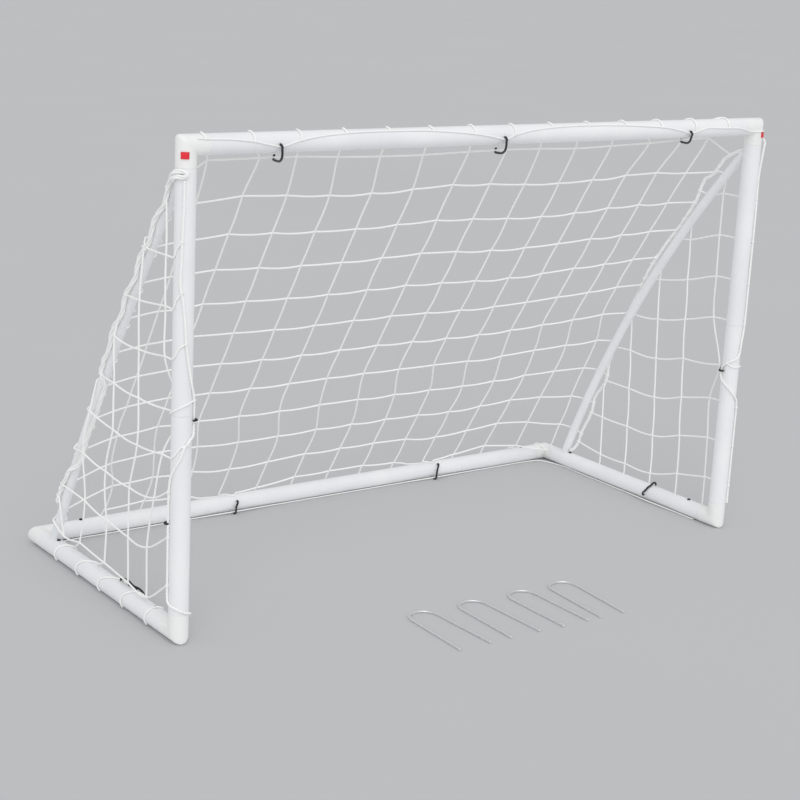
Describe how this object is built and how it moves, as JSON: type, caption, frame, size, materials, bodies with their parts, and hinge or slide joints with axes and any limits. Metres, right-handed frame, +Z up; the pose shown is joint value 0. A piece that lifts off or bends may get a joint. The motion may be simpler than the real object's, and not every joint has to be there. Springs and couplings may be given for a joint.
{
  "type": "sports goal",
  "caption": "Portable garden goal: push-fit tube frame with bowed stays, knotted cord net wrapped round the tubes, net hooks and loose hairpin ground pegs.",
  "frame": {"origin": "on the ground under the middle of the whole object, its bounding box's bottom centre", "axes": "+X along the crossbar towards the right post seen from the mouth, +Y from the mouth to the back rail, +Z up"},
  "size_m": [1.9113, 1.2287, 1.2412],
  "materials": {
    "frame_plastic": "white extruded uPVC, satin gloss",
    "stay_plastic": "thin white uPVC tube, satin",
    "button_red": "red moulded plastic",
    "clip_black": "black nylon",
    "net_cord": "white twisted polythene cord",
    "rope_white": "white braided border rope",
    "peg_wire": "galvanised steel wire"
  },
  "bodies": {
    "frame": {"top_elbow_left": "frame_plastic", "top_elbow_right": "frame_plastic", "foot_elbow_left": "frame_plastic", "foot_elbow_right": "frame_plastic", "back_elbow_left": "frame_plastic", "back_elbow_right": "frame_plastic", "post_lower_left": "frame_plastic", "post_lower_right": "frame_plastic", "post_upper_left": "frame_plastic", "post_upper_right": "frame_plastic", "crossbar_left": "frame_plastic", "crossbar_right": "frame_plastic", "back_rail_left": "frame_plastic", "back_rail_right": "frame_plastic", "side_rail_left": "frame_plastic", "side_rail_right": "frame_plastic", "stay_left": "stay_plastic", "stay_right": "stay_plastic", "stay_plug_top_left": "stay_plastic", "stay_plug_top_right": "stay_plastic", "stay_plug_foot_left": "stay_plastic", "stay_plug_foot_right": "stay_plastic", "net_back": "net_cord", "net_left": "net_cord", "net_right": "net_cord", "rope_headline": "rope_white", "rope_post_left": "rope_white", "rope_post_right": "rope_white", "rope_stay_left": "rope_white", "rope_stay_right": "rope_white", "rope_base": "rope_white", "net_clip_bar_1": "clip_black", "net_clip_bar_2": "clip_black", "net_clip_bar_3": "clip_black", "net_clip_back_1": "clip_black", "net_clip_back_2": "clip_black", "net_clip_side_left": "clip_black", "net_clip_side_right": "clip_black", "net_clip_post_left_high": "clip_black", "net_clip_post_left_low": "clip_black", "net_clip_post_right": "clip_black"},
    "release_left": {"button_left": "button_red"},
    "release_right": {"button_right": "button_red"},
    "pin_left_front": {"snap_pin_left_front": "clip_black"},
    "pin_left_back": {"snap_pin_left_back": "clip_black"},
    "pin_right_front": {"snap_pin_right_front": "clip_black"},
    "pin_right_back": {"snap_pin_right_back": "clip_black"},
    "pin_rear_left": {"snap_pin_rear_left": "clip_black"},
    "pin_rear_right": {"snap_pin_rear_right": "clip_black"},
    "ground_peg_1": {"peg_1": "peg_wire"},
    "ground_peg_2": {"peg_2": "peg_wire"},
    "ground_peg_3": {"peg_3": "peg_wire"},
    "ground_peg_4": {"peg_4": "peg_wire"}
  },
  "joints": [
    {"name": "release_left_press", "type": "slide", "parent": "frame", "child": "release_left", "axis": [0.5592, 0.829, 0], "range_m": [0, 0.003], "stiffness_N_per_m": 1200},
    {"name": "release_right_press", "type": "slide", "parent": "frame", "child": "release_right", "axis": [-0.5592, 0.829, 0], "range_m": [0, 0.003], "stiffness_N_per_m": 1200},
    {"name": "pin_left_front_press", "type": "slide", "parent": "frame", "child": "pin_left_front", "axis": [0, 0, -1], "range_m": [0, 0.0045], "stiffness_N_per_m": 1500},
    {"name": "pin_left_back_press", "type": "slide", "parent": "frame", "child": "pin_left_back", "axis": [0, 0, -1], "range_m": [0, 0.0045], "stiffness_N_per_m": 1500},
    {"name": "pin_right_front_press", "type": "slide", "parent": "frame", "child": "pin_right_front", "axis": [0, 0, -1], "range_m": [0, 0.0045], "stiffness_N_per_m": 1500},
    {"name": "pin_right_back_press", "type": "slide", "parent": "frame", "child": "pin_right_back", "axis": [0, 0, -1], "range_m": [0, 0.0045], "stiffness_N_per_m": 1500},
    {"name": "pin_rear_left_press", "type": "slide", "parent": "frame", "child": "pin_rear_left", "axis": [0, 0, -1], "range_m": [0, 0.0045], "stiffness_N_per_m": 1500},
    {"name": "pin_rear_right_press", "type": "slide", "parent": "frame", "child": "pin_rear_right", "axis": [0, 0, -1], "range_m": [0, 0.0045], "stiffness_N_per_m": 1500},
    {"name": "peg_1_lift", "type": "slide", "parent": "frame", "child": "ground_peg_1", "axis": [0, 0, 1], "range_m": [0, 0.25]},
    {"name": "peg_2_lift", "type": "slide", "parent": "frame", "child": "ground_peg_2", "axis": [0, 0, 1], "range_m": [0, 0.25]},
    {"name": "peg_3_lift", "type": "slide", "parent": "frame", "child": "ground_peg_3", "axis": [0, 0, 1], "range_m": [0, 0.25]},
    {"name": "peg_4_lift", "type": "slide", "parent": "frame", "child": "ground_peg_4", "axis": [0, 0, 1], "range_m": [0, 0.25]}
  ]
}
